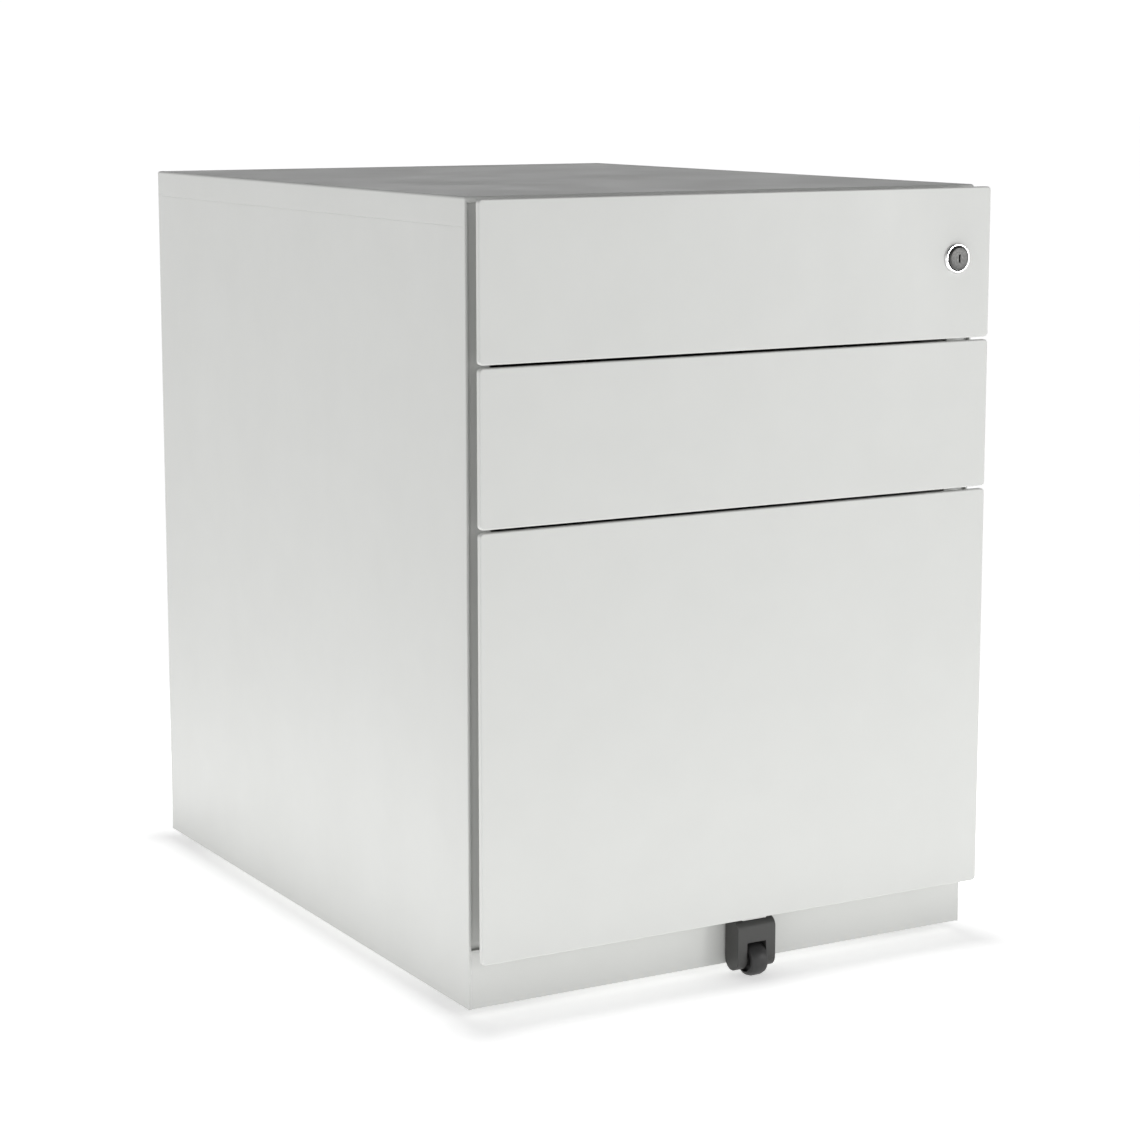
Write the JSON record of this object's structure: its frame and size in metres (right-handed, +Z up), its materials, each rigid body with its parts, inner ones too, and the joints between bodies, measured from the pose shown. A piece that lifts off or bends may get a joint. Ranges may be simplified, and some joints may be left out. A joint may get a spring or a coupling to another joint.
{
  "type": "mobile steel pedestal with two stationery drawers and a filing drawer",
  "caption": "Under-desk steel pedestal on castors: shallow drawers over a deep filing drawer, slab fronts with finger gaps at the sides, cam lock at top right.",
  "frame": {"origin": "on the floor, at the middle of the overall box in X and Y", "axes": "+Z up, drawer fronts face -Y, +X to the right seen from the front"},
  "size_m": [0.42, 0.5702, 0.565],
  "materials": {
    "case_paint": "satin textured powder coat",
    "front_paint": "satin textured powder coat",
    "drawer_paint": "satin powder coat",
    "zinc_steel": "bright zinc plate",
    "ball_cage": "pressed steel strip with polished balls",
    "axle_steel": "turned steel",
    "lock_chrome": "polished",
    "lock_core": "satin dark plate",
    "guide_plastic": "natural nylon",
    "wheel_plastic": "moulded, fine sparked texture",
    "castor_plastic": "moulded, fine sparked texture"
  },
  "bodies": {
    "case": {"top_panel": "case_paint", "side_panel_left": "case_paint", "side_panel_right": "case_paint", "back_panel": "case_paint", "base_plate": "case_paint", "plinth": "case_paint", "front_uprights": "case_paint", "rear_uprights": "case_paint", "top_slide_outer": "zinc_steel", "middle_slide_outer": "zinc_steel", "file_slide_outer": "zinc_steel", "slide_rivets": "zinc_steel", "lock_bar_guides": "guide_plastic", "castor_stems": "axle_steel"},
    "top_drawer": {"top_front_panel": "front_paint", "top_front_spacer": "drawer_paint", "top_drawer_sides": "drawer_paint", "top_end_walls": "drawer_paint", "top_drawer_bottom": "drawer_paint", "top_slide_inner": "zinc_steel", "lock_housing": "zinc_steel", "lock_bezel": "lock_chrome", "lock_nut": "zinc_steel"},
    "middle_drawer": {"middle_front_panel": "front_paint", "middle_front_spacer": "drawer_paint", "middle_drawer_sides": "drawer_paint", "middle_end_walls": "drawer_paint", "middle_drawer_bottom": "drawer_paint", "middle_slide_inner": "zinc_steel"},
    "file_drawer": {"file_front_panel": "front_paint", "file_front_spacer": "drawer_paint", "file_drawer_sides": "drawer_paint", "file_end_walls": "drawer_paint", "file_drawer_bottom": "drawer_paint", "file_slide_inner": "zinc_steel", "file_rails": "zinc_steel", "anti_tilt_housing": "castor_plastic", "anti_tilt_axle": "axle_steel", "anti_tilt_bracket": "drawer_paint"},
    "top_cages": {"top_ball_cages": "ball_cage"},
    "middle_cages": {"middle_ball_cages": "ball_cage"},
    "file_outer_cages": {"file_outer_ball_cages": "ball_cage"},
    "file_inner_cages": {"file_inner_ball_cages": "ball_cage"},
    "file_middle_rails": {"file_slide_middle": "zinc_steel"},
    "lock_core": {"lock_barrel": "lock_core", "lock_cam": "zinc_steel"},
    "locking_bar": {"lock_bar": "zinc_steel"},
    "anti_tilt_roller": {"anti_tilt_wheel": "wheel_plastic"},
    "castor_front_left": {"castor_front_left_housing": "castor_plastic", "castor_front_left_axle": "axle_steel"},
    "castor_front_left_roller": {"castor_front_left_wheels": "wheel_plastic"},
    "castor_front_right": {"castor_front_right_housing": "castor_plastic", "castor_front_right_axle": "axle_steel"},
    "castor_front_right_roller": {"castor_front_right_wheels": "wheel_plastic"},
    "castor_rear_left": {"castor_rear_left_housing": "castor_plastic", "castor_rear_left_axle": "axle_steel"},
    "castor_rear_left_roller": {"castor_rear_left_wheels": "wheel_plastic"},
    "castor_rear_right": {"castor_rear_right_housing": "castor_plastic", "castor_rear_right_axle": "axle_steel"},
    "castor_rear_right_roller": {"castor_rear_right_wheels": "wheel_plastic"}
  },
  "joints": [
    {"name": "top_drawer_slide", "type": "slide", "parent": "case", "child": "top_drawer", "axis": [0, -1, 0], "range_m": [0, 0.375]},
    {"name": "middle_drawer_slide", "type": "slide", "parent": "case", "child": "middle_drawer", "axis": [0, -1, 0], "range_m": [0, 0.375]},
    {"name": "file_drawer_slide", "type": "slide", "parent": "case", "child": "file_drawer", "axis": [0, -1, 0], "range_m": [0, 0.48]},
    {"name": "top_cages_slide", "type": "slide", "parent": "case", "child": "top_cages", "axis": [0, -1, 0], "range_m": [0, 0.1875]},
    {"name": "middle_cages_slide", "type": "slide", "parent": "case", "child": "middle_cages", "axis": [0, -1, 0], "range_m": [0, 0.1875]},
    {"name": "file_middle_rails_slide", "type": "slide", "parent": "case", "child": "file_middle_rails", "axis": [0, -1, 0], "range_m": [0, 0.24]},
    {"name": "file_outer_cages_slide", "type": "slide", "parent": "case", "child": "file_outer_cages", "axis": [0, -1, 0], "range_m": [0, 0.12]},
    {"name": "file_inner_cages_slide", "type": "slide", "parent": "case", "child": "file_inner_cages", "axis": [0, -1, 0], "range_m": [0, 0.36]},
    {"name": "lock_turn", "type": "hinge", "parent": "top_drawer", "child": "lock_core", "pos_m": [0.18, -0.27985, 0.513], "axis": [0, 1, 0], "range_deg": [0, 90]},
    {"name": "locking_bar_slide", "type": "slide", "parent": "case", "child": "locking_bar", "axis": [0, 0, -1], "range_m": [0, 0.01]},
    {"name": "castor_front_left_swivel", "type": "hinge", "parent": "case", "child": "castor_front_left", "pos_m": [-0.165, -0.21485, 0.044], "axis": [0, 0, 1], "continuous": true},
    {"name": "castor_front_left_roll", "type": "hinge", "parent": "castor_front_left", "child": "castor_front_left_roller", "pos_m": [-0.165, -0.20285, 0.018], "axis": [1, 0, 0], "continuous": true},
    {"name": "castor_front_right_swivel", "type": "hinge", "parent": "case", "child": "castor_front_right", "pos_m": [0.165, -0.21485, 0.044], "axis": [0, 0, 1], "continuous": true},
    {"name": "castor_front_right_roll", "type": "hinge", "parent": "castor_front_right", "child": "castor_front_right_roller", "pos_m": [0.165, -0.20285, 0.018], "axis": [1, 0, 0], "continuous": true},
    {"name": "castor_rear_left_swivel", "type": "hinge", "parent": "case", "child": "castor_rear_left", "pos_m": [-0.165, 0.24015, 0.044], "axis": [0, 0, 1], "continuous": true},
    {"name": "castor_rear_left_roll", "type": "hinge", "parent": "castor_rear_left", "child": "castor_rear_left_roller", "pos_m": [-0.165, 0.25215, 0.018], "axis": [1, 0, 0], "continuous": true},
    {"name": "castor_rear_right_swivel", "type": "hinge", "parent": "case", "child": "castor_rear_right", "pos_m": [0.165, 0.24015, 0.044], "axis": [0, 0, 1], "continuous": true},
    {"name": "castor_rear_right_roll", "type": "hinge", "parent": "castor_rear_right", "child": "castor_rear_right_roller", "pos_m": [0.165, 0.25215, 0.018], "axis": [1, 0, 0], "continuous": true},
    {"name": "anti_tilt_roll", "type": "hinge", "parent": "file_drawer", "child": "anti_tilt_roller", "pos_m": [0.014, -0.27285, 0.0133], "axis": [1, 0, 0], "continuous": true}
  ],
  "couplings": [
    {"joint": "top_cages_slide", "follows": "top_drawer_slide", "ratio": 0.5},
    {"joint": "middle_cages_slide", "follows": "middle_drawer_slide", "ratio": 0.5},
    {"joint": "file_middle_rails_slide", "follows": "file_drawer_slide", "ratio": 0.5},
    {"joint": "file_outer_cages_slide", "follows": "file_drawer_slide", "ratio": 0.25},
    {"joint": "file_inner_cages_slide", "follows": "file_drawer_slide", "ratio": 0.75},
    {"joint": "lock_turn", "follows": "locking_bar_slide", "rad_per_m": 157.07}
  ]
}
